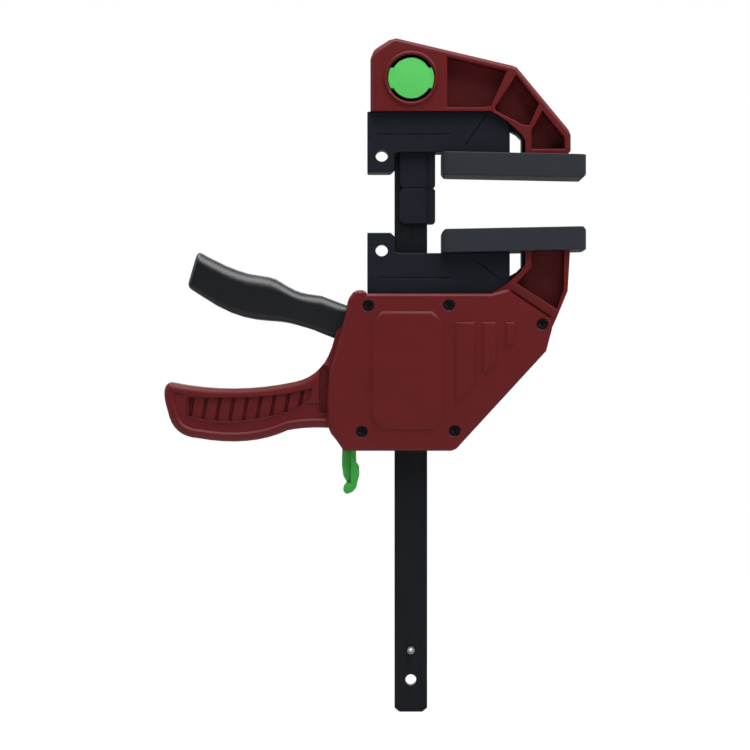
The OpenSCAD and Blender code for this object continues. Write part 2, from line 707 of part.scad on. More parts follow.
// The washer that the drive spring stands on
module spring_seat() {
    half = room_half - slide_gap;
    color("#8c9096") difference() {
        block([-drive_spring_r - 3 * wire_r, -half, web_z + web_t],
            [drive_spring_r + 3 * wire_r, half, seat_top]);
        bar_space(web_z - cut, seat_top + cut);
    }
}

module brake_spring() {
    color("#9a9da3") translate([brake_spring_x, 0, 0])
        coil(brake_spring_r, wire_r / 2, floor_z + flat_gap, brake_spring_top, brake_turns, 12);
}

module squeeze_lever() {
    grip = concat(bend(body_points(lever_top_shares)), bend(body_points(lever_step_shares)),
        bend(body_points(lever_low_shares)), bend(body_points(lever_sweep_shares)),
        body_points(lever_tip_shares));
    neck = concat(body_points([[-0.46, 0.99], [-0.35, 0.99]]), body_points(lever_in_shares),
        [[pivot_x, pivot_z + lever_boss_r * 0.9], [pivot_x, pivot_z - lever_boss_r * 0.6],
        [nose_x, pivot_z - nose_r * 0.6]], body_points(lever_neck_shares),
        body_points([[-0.4, 0.775], [-0.46, 0.8]]));
    color("#1a1c20") difference() {
        union() {
            slab(-lever_t / 2, lever_t / 2) polygon(grip);
            slab(-lever_neck_t / 2, lever_neck_t / 2) polygon(neck);
            rod(pivot_x, pivot_z, 2 * lever_boss_r, -lever_neck_t / 2, lever_neck_t / 2);
            rod(nose_x, pivot_z, 2 * nose_r, -lever_neck_t / 2, lever_neck_t / 2);
        }
        rod(pivot_x, pivot_z, lever_pin_d + 2 * run_gap, -lever_t, lever_t);
    }
}

// One of the three plates that grip the bar when the lever's nose pushes them
module drive_plate(i) {
    z = drive_foot + i * drive_plate_t;
    color("#83878e") difference() {
        block([drive_x0, -drive_half, z], [drive_x1, drive_half, z + drive_plate_t]);
        bar_space(z - cut, z + drive_plate_t + cut);
    }
}

module drive_plate_1() {
    drive_plate(0);
}

module drive_plate_2() {
    drive_plate(1);
}

module drive_plate_3() {
    drive_plate(2);
}

// Turns a piece of the brake from its released place to its tilted rest
module at_rest() {
    translate([brake_x, 0, brake_z]) rotate([0, brake_tilt_deg, 0]) translate([-brake_x, 0, -brake_z])
        children();
}

module brake_plate(i) {
    z = brake_z - brake_plate_t + i * brake_plate_t;
    color("#83878e") at_rest() difference() {
        block([brake_x0, -brake_half, z], [brake_x1, brake_half, z + brake_plate_t]);
        bar_space(z - cut, z + brake_plate_t + cut, brake_slot_gap);
    }
}

module brake_plate_1() {
    brake_plate(0);
}

module brake_plate_2() {
    brake_plate(1);
}

// A point of the released brake, turned to its tilted rest
function tilted(x, z) = let (
    c = cos(brake_tilt_deg),
    s = sin(brake_tilt_deg),
    dx = x - brake_x,
    dz = z - brake_z)
    [brake_x + dx * c + dz * s, brake_z - dx * s + dz * c];

// The trigger: a limb below the body and two arms that reach the pivot past the bar
module release_trigger() {
    arm_half = brake_half + 2 * flat_gap;
    low = brake_z - 0.83 * brake_plate_t;
    high = brake_z + 1.17 * brake_plate_t;
    bridge_x = brake_x0 - 2 * flat_gap;
    side = concat([tilted(-0.281 * grip_reach, high), tilted(brake_x, high), tilted(brake_x, low),
        tilted(-0.241 * grip_reach, low)], body_points(trigger_low_shares));
    between = [tilted(bridge_x, brake_z - bar_w), tilted(brake_x + bar_w, brake_z - bar_w),
        tilted(brake_x + bar_w, brake_z + bar_w), tilted(bridge_x, brake_z + bar_w)];
    color("#2f9e3c") difference() {
        union() {
            slab(-trigger_half, trigger_half) polygon(side);
            rod(brake_x, brake_z, trigger_pin_d + 2 * trigger_post_wall, -trigger_half, trigger_half);
        }
        slab(-arm_half, arm_half) polygon(between);
        rod(brake_x, brake_z, trigger_pin_d + 2 * run_gap, -body_t, body_t);
    }
}

bar();
bar_stop_pin();
bar_clip_upper();
bar_clip_lower();
fixed_jaw_arm();
fixed_jaw_bracket();
fixed_jaw_pad();
button_spring();
button_rear_cap();
release_button();
lock_plate();
lock_pin();
front_shell();
rear_shell();
moving_jaw_bracket();
moving_jaw_pad();
cover_screws();
lever_pin();
trigger_pin();
drive_spring();
spring_seat();
brake_spring();
squeeze_lever();
drive_plate_1();
drive_plate_2();
drive_plate_3();
release_trigger();
brake_plate_1();
brake_plate_2();
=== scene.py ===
"""Dresses a quick release bar clamp: moulded covers and arm, painted steel bar, pads, lever and trigger.

Every size is in metres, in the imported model's own frame: X right along the jaws, Y away from
the front, Z up the bar, with the origin at the bar's foot hole. The tables of places and
cross-sections are in millimetres, and MM turns them to metres where they are used.
"""
import math

import bmesh
import bpy
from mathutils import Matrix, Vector


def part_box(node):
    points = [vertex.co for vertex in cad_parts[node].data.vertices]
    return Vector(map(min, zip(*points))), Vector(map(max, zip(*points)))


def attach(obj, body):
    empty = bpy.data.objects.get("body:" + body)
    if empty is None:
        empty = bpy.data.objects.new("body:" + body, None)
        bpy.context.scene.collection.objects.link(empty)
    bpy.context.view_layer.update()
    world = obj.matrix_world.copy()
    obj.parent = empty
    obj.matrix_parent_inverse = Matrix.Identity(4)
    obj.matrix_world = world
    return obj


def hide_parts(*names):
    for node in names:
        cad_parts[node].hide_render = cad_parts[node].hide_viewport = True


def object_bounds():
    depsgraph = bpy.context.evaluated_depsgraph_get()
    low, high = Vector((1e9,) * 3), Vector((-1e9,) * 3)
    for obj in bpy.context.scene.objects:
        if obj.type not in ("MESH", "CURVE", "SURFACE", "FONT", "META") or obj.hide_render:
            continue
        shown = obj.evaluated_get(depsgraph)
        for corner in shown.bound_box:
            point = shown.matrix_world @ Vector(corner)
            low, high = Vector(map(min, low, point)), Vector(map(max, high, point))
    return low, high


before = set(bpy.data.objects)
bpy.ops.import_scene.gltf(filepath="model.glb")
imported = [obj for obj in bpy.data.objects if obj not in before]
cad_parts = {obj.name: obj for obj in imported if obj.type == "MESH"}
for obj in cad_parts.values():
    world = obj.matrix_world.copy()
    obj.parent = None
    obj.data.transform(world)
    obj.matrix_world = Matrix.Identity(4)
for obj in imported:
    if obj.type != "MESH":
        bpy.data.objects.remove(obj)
cad_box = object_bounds()

bl_info = {
    "name": "Quick release bar clamp",
    "version": (1, 0, 0),
    "blender": (4, 5, 0),
    "location": "3D View > Sidebar > Bar clamp",
    "description": "Dresses a packed bar clamp with finished pieces and materials",
    "category": "Object",
}

MM = 0.001
NEAR = 0.02 * MM

# Faces of the moulded pieces, measured from the middle of the clamp along Y
COVER_FACE = 19 * MM
ARM_FACE = 15 * MM
HANDLE_FACE = 14 * MM
RIB_FACE = 13.2 * MM
RECESS_FLOOR = 11.6 * MM
BRACKET_FACE = 11 * MM
THIN_FACE = 7 * MM
CLIP_FACE = 6.5 * MM
TRIGGER_FACE = 13.2 * MM
PANEL_FACE = -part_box("front_shell")[0].y
RING_FACE = -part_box("fixed_jaw_arm")[0].y

# How far the ribs in the handle's recess lie below their packed faces
RIB_SUNK = 1.0 * MM

# A wall looks along an axis when more than this share of its normal points there
FACING = 0.5

# Each jaw and the body that its bracket and pad ride on
JAWS = {"fixed": "bar", "moving": "carriage"}


def linear(hex_colour):
    """An sRGB hex colour as linear red, green, blue and alpha."""
    shares = [int(hex_colour[i:i + 2], 16) / 255 for i in (1, 3, 5)]
    return tuple(s / 12.92 if s <= 0.04045 else ((s + 0.055) / 1.055) ** 2.4 for s in shares) + (1.0,)


def add_node(tree, kind, settings=None, links=None):
    """Adds a node, sets its sockets and properties, and links its sockets to other nodes' outputs.

    A map range's sockets 1 and 2 are the ends of what it takes, and 3 and 4 are what it gives there.
    """
    node = tree.nodes.new(kind)
    for key, value in (settings or {}).items():
        if isinstance(key, str) and hasattr(node, key):
            setattr(node, key, value)
        else:
            node.inputs[key].default_value = value
    for key, output in (links or {}).items():
        tree.links.new(output, node.inputs[key])
    return node


def length(name, text, value):
    """A length property of a piece, in metres."""
    return bpy.props.FloatProperty(name=name, description=text, default=value, min=0, unit="LENGTH")


def paint(name, text, hex_colour):
    """A colour property of a finish."""
    return bpy.props.FloatVectorProperty(
        name=name, description=text, default=linear(hex_colour), size=4, min=0, max=1, subtype="COLOR")


class ClampStage(bpy.types.PropertyGroup):
    distance: length("Camera distance", "From the camera to the plane that the view size is true for", 1.61)
    view_size: length("View size", "Height and width that the picture takes in", 0.480)
    centre_x: bpy.props.FloatProperty(
        name="View centre X", description="Middle of the picture along the jaws", default=-0.02304,
        unit="LENGTH")
    centre_z: length("View centre Z", "Height of the middle of the picture", 0.19584)
    floor_size: length("Floor size", "Width of the pale floor", 12.0)
    floor_gap: length("Floor gap", "Gap between the bar's end and the floor", 0.2 * MM)
    floor_clear: length("Shadow reach", "Where the floor turns wholly white", 1.4)


class ClampColours(bpy.types.PropertyGroup):
    crimson: paint("Crimson", "Glass-filled nylon of the arm and covers", "#55080c")
    crimson_shade: paint("Crimson shade", "Darker clouds in the crimson nylon", "#4c0609")
    black_nylon: paint("Black nylon", "Brackets and bar clips", "#121621")
    pad_black: paint("Pad black", "Soft faces of the pads", "#1f232a")
    lever_black: paint("Lever black", "Satin lever", "#101216")
    green: paint("Green", "Release button", "#4bab51")
    green_dark: paint("Trigger green", "Release trigger", "#2b8c33")
    bar_black: paint("Bar black", "Painted steel bar", "#0b0d11")


class ClampRounds(bpy.types.PropertyGroup):
    steel: length("Steel edges", "Broken edge of the bar and its holes", 0.5 * MM)
    clip: length("Clip edges", "Round of the bar clips' edges", 0.6 * MM)
    bracket: length("Bracket edges", "Round of the brackets' edges", 0.7 * MM)
    pad: length("Pad edges", "Round of the pads' edges", 0.7 * MM)
    arm_end: length("Arm end", "Slope down the fixed arm's left end", 3.2 * MM)
    arm: length("Arm edges", "Slope along the arms' outlines", 2.3 * MM)
    pocket: length("Pocket edges", "Round of the rims of the arms' pockets", 0.6 * MM)
    ring: length("Ring edges", "Round of the ring about the button", 1.15 * MM)
    button: length("Button edge", "Round of the release button's edge", 1.2 * MM)
    cover: length("Cover edges", "Slope along the covers' top and left", 2.1 * MM)
    cover_low: length("Lower cover edges", "Slope along the covers' right and foot", 0.9 * MM)
    corner: length("Cover corners", "Round of the covers' upright corners", 2.0 * MM)
    handle: length("Handle edges", "Round of the handle's outline", 4.5 * MM)
    recess: length("Recess edges", "Round of the rim of the handle's ribbed recess", 0.4 * MM)
    rib: length("Rib edges", "Round of the ribs in that recess", 0.5 * MM)
    panel: length("Panel slope", "Slope round the panel", 2.2 * MM)
    raised_bar: length("Raised bar slope", "Slope round the three raised bars", 1.8 * MM)
    seam: length("Seam", "Broken edge where the two covers meet", 0.25 * MM)
    screw: length("Screw seats", "Slope round each screw's seat", 0.4 * MM)


def only(obj):
    """Makes obj the one selected and active object."""
    bpy.ops.object.select_all(action="DESELECT")
    obj.select_set(True)
    bpy.context.view_layer.objects.active = obj


def edit(obj):
    """Opens obj alone in edit mode with nothing selected."""
    only(obj)
    bpy.ops.object.mode_set(mode="EDIT")
    bpy.ops.mesh.select_mode(type="EDGE")
    bpy.ops.mesh.select_all(action="DESELECT")


def pick(obj, kind, test):
    """Selects the faces or edges of obj that pass the test, and says how many there are."""
    bpy.ops.mesh.select_mode(type=kind)
    bpy.ops.mesh.select_all(action="DESELECT")
    shape = bmesh.from_edit_mesh(obj.data)
    found = [item for item in (shape.edges if kind == "EDGE" else shape.faces) if test(item)]
    for item in found:
        item.select_set(True)
    bmesh.update_edit_mesh(obj.data)
    return len(found)


def is_corner(edge, least=30):
    """True for an edge where two faces meet in an outer corner."""
    return len(edge.link_faces) == 2 and edge.calc_face_angle_signed(0) > math.radians(least)


def on_plane(edge, depth):
    """True for an edge that lies at that depth, front or back."""
    return all(abs(abs(v.co.y) - depth) < NEAR for v in edge.verts)


def reaches(edge, *depths):
    """True for an outer wall's edge: a face beside it runs from the middle plane to one of the depths."""
    for face in edge.link_faces:
        sides = [v.co.y for v in face.verts]
        far = max(abs(side) for side in sides)
        meets_middle = min(sides) < NEAR and max(sides) > -NEAR
        is_wall = abs(face.normal.y) < FACING
        if is_wall and meets_middle and any(abs(far - depth) < NEAR for depth in depths):
            return True
    return False


def wall_normal(edge):
    """The normal of the wall beside an edge of a front or back face."""
    return min((face.normal for face in edge.link_faces), key=lambda normal: abs(normal.y))


def middle(edge):
    """The middle point of an edge."""
    return (edge.verts[0].co + edge.verts[1].co) / 2


def flat_at(face, depth):
    """True for a face that lies flat at that depth, front or back."""
    return all(abs(abs(v.co.y) - depth) < NEAR for v in face.verts)


def round_edges(obj, test, width, segments=3):
    """Bevels the edges that pass the test."""
    if pick(obj, "EDGE", test):
        bpy.ops.mesh.bevel(offset=width, segments=segments, affect="EDGES", loop_slide=False,
                           clamp_overlap=False)


def round_all(obj, rules, segments=3, profile=0.5):
    """Bevels every edge by the width of the first rule that it passes, all in one step."""
    widest = max(width for test, width in rules)
    taken = set()
    for test, width in rules:
        if pick(obj, "EDGE", lambda edge: edge.index not in taken and is_corner(edge) and test(edge)):
            bpy.ops.transform.edge_bevelweight(value=width / widest)
            taken.update(edge.index for edge in bmesh.from_edit_mesh(obj.data).edges if edge.select)
    bpy.ops.object.mode_set(mode="OBJECT")
    rounds = obj.modifiers.new("rounds", "BEVEL")
    rounds.limit_method = "WEIGHT"
    rounds.offset_type = "OFFSET"
    rounds.width = widest
    rounds.segments = segments
    rounds.profile = profile
    rounds.use_clamp_overlap = False
    rounds.loop_slide = False
    bpy.ops.object.modifier_apply(modifier="rounds")


def copy_node(node, name):
    """A new piece with a merged copy of a CAD node's mesh, its flat faces made whole, in edit mode."""
    flat_degrees = 0.3
    obj = bpy.data.objects.new(name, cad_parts[node].data.copy())
    bpy.context.collection.objects.link(obj)
    obj.data.materials.clear()
    only(obj)
    bpy.ops.mesh.customdata_custom_splitnormals_clear()
    edit(obj)
    bpy.ops.mesh.select_all(action="SELECT")
    bpy.ops.mesh.remove_doubles(threshold=NEAR / 10)
    bpy.ops.mesh.dissolve_limited(angle_limit=math.radians(flat_degrees))
    return obj


def groove(obj, start, end, face, width, depth, tilt=0):
    """Cuts a straight groove into obj's front and back face, from start to end, each an X and a Z."""
    run = Vector((end[0] - start[0], 0, end[1] - start[1]))
    for side in (-1, 1):
        bpy.ops.object.select_all(action="DESELECT")
        place = ((start[0] + end[0]) / 2, side * face, (start[1] + end[1]) / 2)
        bpy.ops.mesh.primitive_cube_add(
            size=1, location=place, rotation=(tilt, -math.atan2(run.z, run.x), 0),
            scale=(run.length, 2 * depth, width))
        cutter = bpy.context.object
        cut = obj.modifiers.new("groove", "BOOLEAN")
        cut.operation = "DIFFERENCE"
        cut.solver = "EXACT"
        cut.object = cutter
        only(obj)
        bpy.ops.object.modifier_apply(modifier="groove")
        bpy.data.objects.remove(cutter)


def smooth(obj, degrees=40):
    """Shades obj smooth with its flat faces kept flat."""
    only(obj)
    bpy.ops.object.shade_smooth_by_angle(angle=math.radians(degrees))
    obj.modifiers.new("flat faces", "WEIGHTED_NORMAL").keep_sharp = True
    bpy.ops.object.modifier_apply(modifier="flat faces")


def dress(obj, finish, body, slot, *nodes):
    """Ends the work on a piece: shading, finish, the body it rides on and the nodes it stands for."""
    if obj.mode == "EDIT":
        bpy.ops.object.mode_set(mode="OBJECT")
    only(obj)
    bpy.ops.object.transform_apply(location=True, rotation=True, scale=True)
    smooth(obj)
    obj.data.materials.append(finish)
    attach(obj, body)
    if nodes:
        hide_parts(*nodes)


def new_finish(name, roughness, specular=0.5, metallic=0.0, ior=1.5):
    """A new material: its node tree, its shader and its Object coordinates."""
    material = bpy.data.materials.new(name)
    material.use_nodes = True
    tree = material.node_tree
    shader = tree.nodes["Principled BSDF"]
    shader.inputs["Roughness"].default_value = roughness
    shader.inputs["Metallic"].default_value = metallic
    if not metallic:
        shader.inputs["Specular IOR Level"].default_value = specular
        shader.inputs["IOR"].default_value = ior
    place = add_node(tree, "ShaderNodeTexCoord").outputs["Object"]
    return material, tree, shader, place


def moulded(name, colour, shade, roughness, specular, grain, bump):
    """Moulded plastic: clouds of a darker tone, uneven gloss and the grain of an eroded mould."""
    cloud_size = 14 * MM
    glossier, duller = 0.06, 0.08
    material, tree, shader, place = new_finish(name, roughness, specular, ior=1.53)
    cloud = add_node(tree, "ShaderNodeTexNoise", {"Scale": 1 / cloud_size, "Detail": 4.0},
                     {"Vector": place})
    tone = add_node(tree, "ShaderNodeMix", {"data_type": "RGBA", 6: colour, 7: shade},
                    {0: cloud.outputs["Fac"]})
    tree.links.new(tone.outputs[2], shader.inputs["Base Color"])
    grit = add_node(tree, "ShaderNodeTexNoise", {"Scale": 1 / grain, "Detail": 2.0}, {"Vector": place})
    gloss = add_node(tree, "ShaderNodeMapRange", {3: roughness - glossier, 4: roughness + duller},
                     {0: grit.outputs["Fac"]})
    tree.links.new(gloss.outputs[0], shader.inputs["Roughness"])
    relief = add_node(tree, "ShaderNodeBump", {"Strength": 0.5, "Distance": bump},
                      {"Height": grit.outputs["Fac"]})
    tree.links.new(relief.outputs["Normal"], shader.inputs["Normal"])
    return material


def crimson_nylon(colours):
    """Glass-filled nylon from an eroded mould: the fibres cloud the red a little and dull its gloss."""
    return moulded("crimson_glass_filled_nylon", colours.crimson, colours.crimson_shade,
                   roughness=0.5, specular=0.2, grain=0.9 * MM, bump=0.05 * MM)


def black_nylon(colours):
    """Black glass-filled nylon: a blue-black with a fine dull grain."""
    return moulded("black_glass_filled_nylon", colours.black_nylon, linear("#0e1119"),
                   roughness=0.52, specular=0.15, grain=0.9 * MM, bump=0.04 * MM)


def pad_rubber(colours):
    """Soft black elastomer moulded over the pad: greyer and duller than the nylon."""
    return moulded("black_soft_elastomer", colours.pad_black, linear("#1d2026"),
                   roughness=0.62, specular=0.2, grain=1.1 * MM, bump=0.04 * MM)


def lever_abs(colours):
    """Satin black ABS: smooth enough for long soft highlights."""
    return moulded("satin_black_abs", colours.lever_black, linear("#0e1014"),
                   roughness=0.34, specular=0.4, grain=1.2 * MM, bump=0.003 * MM)


def button_acetal(colours):
    """Bright green acetal: even, a little waxy."""
    return moulded("green_acetal", colours.green, linear("#45a24c"),
                   roughness=0.42, specular=0.25, grain=1.2 * MM, bump=0.01 * MM)


def trigger_acetal(colours):
    """Deeper green acetal with a satin skin."""
    return moulded("deep_green_acetal", colours.green_dark, linear("#257a2c"),
                   roughness=0.45, specular=0.25, grain=1.2 * MM, bump=0.02 * MM)


def painted_steel(colours):
    """Black painted steel: satin paint over drawn flat bar, so faint streaks run along it."""
    streak_width = 1.6 * MM
    streak_length = 60 * MM
    peel_size = 1.5 * MM
    peel_height = 0.02 * MM
    glossiest, dullest = 0.34, 0.5
    stretch = (1 / streak_width, 1 / streak_width, 1 / streak_length)
    material, tree, shader, place = new_finish("black_painted_steel", roughness=0.42, specular=0.15)
    drawn = add_node(tree, "ShaderNodeMapping", {"Scale": stretch}, {"Vector": place})
    streak = add_node(tree, "ShaderNodeTexNoise", {"Scale": 1.0, "Detail": 5.0},
                      {"Vector": drawn.outputs[0]})
    tone = add_node(tree, "ShaderNodeMix",
                    {"data_type": "RGBA", 6: colours.bar_black, 7: linear("#14161b")},
                    {0: streak.outputs["Fac"]})
    tree.links.new(tone.outputs[2], shader.inputs["Base Color"])
    gloss = add_node(tree, "ShaderNodeMapRange", {3: glossiest, 4: dullest}, {0: streak.outputs["Fac"]})
    tree.links.new(gloss.outputs[0], shader.inputs["Roughness"])
    peel = add_node(tree, "ShaderNodeTexNoise", {"Scale": 1 / peel_size, "Detail": 2.0}, {"Vector": place})
    relief = add_node(tree, "ShaderNodeBump", {"Strength": 0.4, "Distance": peel_height},
                      {"Height": peel.outputs["Fac"]})
    tree.links.new(relief.outputs["Normal"], shader.inputs["Normal"])
    return material


def metal(name, colour, shade, roughness, grain):
    """Bare or plated metal with a slightly uneven tone and gloss."""
    glossier, duller = 0.08, 0.1
    material, tree, shader, place = new_finish(name, roughness, metallic=1.0)
    cloud = add_node(tree, "ShaderNodeTexNoise", {"Scale": 1 / grain, "Detail": 4.0}, {"Vector": place})
    tone = add_node(tree, "ShaderNodeMix", {"data_type": "RGBA", 6: linear(colour), 7: linear(shade)},
                    {0: cloud.outputs["Fac"]})
    tree.links.new(tone.outputs[2], shader.inputs["Base Color"])
    gloss = add_node(tree, "ShaderNodeMapRange", {3: roughness - glossier, 4: roughness + duller},
                     {0: cloud.outputs["Fac"]})
    tree.links.new(gloss.outputs[0], shader.inputs["Roughness"])
    return material


def zinc_steel(colours):
    """Bright zinc plate on steel pins: pale, with cloudy passivation."""
    return metal("zinc_plated_steel", "#b4b8bd", "#a0a3a6", roughness=0.35, grain=2.5 * MM)


def spring_wire(colours):
    """Drawn spring wire with a light oil film."""
    return metal("drawn_spring_wire", "#8f9298", "#777a80", roughness=0.3, grain=1.5 * MM)


def hard_plate(colours):
    """Case-hardened plates: grey with darker scale."""
    return metal("case_hardened_steel", "#7f8288", "#63666c", roughness=0.45, grain=3 * MM)


def oxide_screw(colours):
    """Black oxide on screws: near black, with a dull metal sheen."""
    return metal("black_oxide_steel", "#2e3036", "#202226", roughness=0.4, grain=1.2 * MM)


FINISHES = {
    "crimson": crimson_nylon,
    "nylon": black_nylon,
    "pad": pad_rubber,
    "lever": lever_abs,
    "button": button_acetal,
    "trigger": trigger_acetal,
    "paint": painted_steel,
    "zinc": zinc_steel,
    "wire": spring_wire,
    "plate": hard_plate,
    "oxide": oxide_screw,
}
made = {}


def finish(name):
    """The named finish, made the first time that it is asked for."""
    if name not in made:
        made[name] = FINISHES[name](bpy.context.scene.clamp_colours)
    return made[name]


def light(name, place, aim, width, height, power):
    """A soft rectangular lamp that faces a point."""
    data = bpy.data.lights.new(name, "AREA")
    data.shape = "RECTANGLE"
    data.size = width
    data.size_y = height
    data.energy = power
    obj = bpy.data.objects.new(name, data)
    obj.location = place
    obj.rotation_euler = (Vector(aim) - Vector(place)).to_track_quat("-Z", "Y").to_euler()
    bpy.context.collection.objects.link(obj)


# The soft lamps: name, place, width and height in metres, and power in watts
LAMPS = (
    ("key", (0.6, -0.62, 1.55), 1.6, 1.0, 39),
    ("left", (-1.2, -0.3, 1.0), 1.0, 1.0, 5),
    ("top", (-0.35, -0.1, 2.0), 1.4, 0.8, 34),
    ("back", (0.3, 1.5, 1.0), 1.2, 0.9, 9),
)


class CLAMP_OT_stage(bpy.types.Operator):
    """Sets the camera, the pale floor, the white surroundings and the soft lamps"""
    bl_idname = "clamp.stage"
    bl_label = "Stage"

    def execute(self, context):
        stage = context.scene.clamp_stage
        sensor = 36
        # How far in front of the clamp's middle the view size is true
        framed_plane = 0.01
        data = bpy.data.cameras.new("camera")
        data.sensor_width = sensor
        data.lens = sensor * stage.distance / stage.view_size
        camera = bpy.data.objects.new("camera", data)
        camera.location = (stage.centre_x, -stage.distance - framed_plane, stage.centre_z)
        camera.rotation_euler = (math.radians(90), 0, 0)
        context.collection.objects.link(camera)
        context.scene.camera = camera
        context.scene.view_settings.view_transform = "Standard"
        self.floor(stage)
        self.surroundings(context)
        aim = (stage.centre_x, 0, stage.centre_z)
        for name, place, width, height, power in LAMPS:
            light(name, place, aim, width, height, power)
        return {"FINISHED"}

    def floor(self, stage):
        """A pale floor that is wholly white far from the clamp and keeps its shadow near it."""
        shadow_core = 0.25
        glow_near, glow_far = 0.82, 1.0
        glow_mirrored = 0.4
        height = cad_box[0].z - stage.floor_gap
        bpy.ops.mesh.primitive_plane_add(size=stage.floor_size, location=(0, 0, height))
        floor = bpy.context.object
        floor.name = "floor"
        bpy.ops.object.transform_apply(location=True, rotation=True, scale=True)
        material, tree, shader, place = new_finish("pale_matt_paper", roughness=0.9, specular=0.1)
        shader.inputs["Base Color"].default_value = linear("#f4f4f4")
        rays = add_node(tree, "ShaderNodeLightPath")
        seen = add_node(tree, "ShaderNodeMath", {"operation": "MAXIMUM"},
                        {0: rays.outputs["Is Camera Ray"], 1: rays.outputs["Is Glossy Ray"]})
        shown = add_node(tree, "ShaderNodeMath", {"operation": "MAXIMUM"},
                         {0: seen.outputs[0], 1: rays.outputs["Is Transmission Ray"]})
        reach = add_node(tree, "ShaderNodeVectorMath", {"operation": "LENGTH"}, {0: place})
        share = add_node(tree, "ShaderNodeMapRange",
                         {1: shadow_core, 2: stage.floor_clear, 3: glow_near, 4: glow_far},
                         {0: reach.outputs["Value"]})
        dim = add_node(tree, "ShaderNodeMapRange", {3: 1.0, 4: glow_mirrored},
                       {0: rays.outputs["Is Glossy Ray"]})
        amount = add_node(tree, "ShaderNodeMath", {"operation": "MULTIPLY"},
                          {0: share.outputs[0], 1: shown.outputs[0]})
        white = add_node(tree, "ShaderNodeEmission", {"Color": (1, 1, 1, 1)}, {"Strength": dim.outputs[0]})
        both = add_node(tree, "ShaderNodeMixShader", {}, {0: amount.outputs[0], 1: shader.outputs[0],
                                                          2: white.outputs[0]})
        tree.links.new(both.outputs[0], tree.nodes["Material Output"].inputs["Surface"])
        floor.data.materials.append(material)

    def surroundings(self, context):
        """White for the camera; mirrored rays see white paper behind and a dim room in front."""
        dim_from, white_from = -0.4, 0.6
        dim_room, white_paper = 0.02, 1.0
        fill_light = 0.2
        world = bpy.data.worlds.new("studio")
        context.scene.world = world
        world.use_nodes = True
        tree = world.node_tree
        sky = tree.nodes["Background"]
        rays = add_node(tree, "ShaderNodeLightPath")
        compass = add_node(tree, "ShaderNodeTexCoord")
        along = add_node(tree, "ShaderNodeSeparateXYZ", {}, {0: compass.outputs["Generated"]})
        mirrored = add_node(tree, "ShaderNodeMath", {"operation": "MAXIMUM"},
                            {0: rays.outputs["Is Glossy Ray"], 1: rays.outputs["Is Transmission Ray"]})
        room = add_node(tree, "ShaderNodeMapRange",
                        {1: dim_from, 2: white_from, 3: dim_room, 4: white_paper}, {0: along.outputs["Y"]})
        reflected = add_node(tree, "ShaderNodeMath", {"operation": "MULTIPLY"},
                             {0: mirrored.outputs[0], 1: room.outputs[0]})
        lit = add_node(tree, "ShaderNodeMapRange", {3: fill_light, 4: 0.0}, {0: mirrored.outputs[0]})
        all_round = add_node(tree, "ShaderNodeMath", {"operation": "ADD"},
                             {0: reflected.outputs[0], 1: lit.outputs[0]})
        strength = add_node(tree, "ShaderNodeMath", {"operation": "MAXIMUM"},
                            {0: rays.outputs["Is Camera Ray"], 1: all_round.outputs[0]})
        sky.inputs["Color"].default_value = (1, 1, 1, 1)
        tree.links.new(strength.outputs[0], sky.inputs["Strength"])


class CLAMP_OT_bar(bpy.types.Operator):
    """Dresses the painted steel bar and its rolled stop pin"""
    bl_idname = "clamp.bar"
    bl_label = "Bar"

    def execute(self, context):
        rounds = context.scene.clamp_rounds
        bar = copy_node("bar", "steel_bar")
        round_edges(bar, is_corner, rounds.steel, segments=2)
        dress(bar, finish("paint"), "bar", "bar_steel", "bar")
        pin = copy_node("bar_stop_pin", "rolled_stop_pin")
        round_edges(pin, is_corner, rounds.steel / 2, segments=2)
        dress(pin, finish("zinc"), "bar", "zinc_steel", "bar_stop_pin")
        return {"FINISHED"}


class CLAMP_OT_clips(bpy.types.Operator):
    """Dresses the two clips that grip the bar between the jaws, each with an upright groove"""
    bl_idname = "clamp.clips"
    bl_label = "Bar clips"

    def execute(self, context):
        groove_x = 10.6 * MM
        groove_width = 1.2 * MM
        groove_depth = 0.7 * MM
        cut_past = 2 * MM
        for end in ("upper", "lower"):
            clip = copy_node(f"bar_clip_{end}", f"{end}_bar_clip")
            low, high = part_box(f"bar_clip_{end}")
            bpy.ops.object.mode_set(mode="OBJECT")
            groove(clip, (groove_x, low.z - cut_past), (groove_x, high.z + cut_past), CLIP_FACE,
                   groove_width, groove_depth)
            edit(clip)
            round_all(clip, [(lambda e: on_plane(e, CLIP_FACE), context.scene.clamp_rounds.clip)])
            dress(clip, finish("nylon"), "bar", "black_nylon", f"bar_clip_{end}")
        return {"FINISHED"}


class CLAMP_OT_fixed_arm(bpy.types.Operator):
    """Dresses the fixed arm: sloped outline, pockets and the ring round the button"""
    bl_idname = "clamp.fixed_arm"
    bl_label = "Fixed arm"

    def execute(self, context):
        rounds = context.scene.clamp_rounds
        foot_facing = 0.4
        arm = copy_node("fixed_jaw_arm", "crimson_fixed_arm")

        def outer(edge):
            """True along the outline, away from the line where the arm lies on its bracket."""
            normal = wall_normal(edge)
            on_bracket = normal.z <= -foot_facing or (normal.x < -FACING and middle(edge).x > 0)
            return on_plane(edge, ARM_FACE) and reaches(edge, ARM_FACE) and not on_bracket

        round_all(arm, [
            (lambda e: outer(e) and wall_normal(e).x < -FACING, rounds.arm_end),
            (outer, rounds.arm),
            (lambda e: on_plane(e, RING_FACE) or on_plane(e, COVER_FACE), rounds.ring),
            (lambda e: on_plane(e, ARM_FACE) and not reaches(e, ARM_FACE), rounds.pocket)],
            segments=4, profile=0.3)
        dress(arm, finish("crimson"), "bar", "red_nylon", "fixed_jaw_arm")
        return {"FINISHED"}


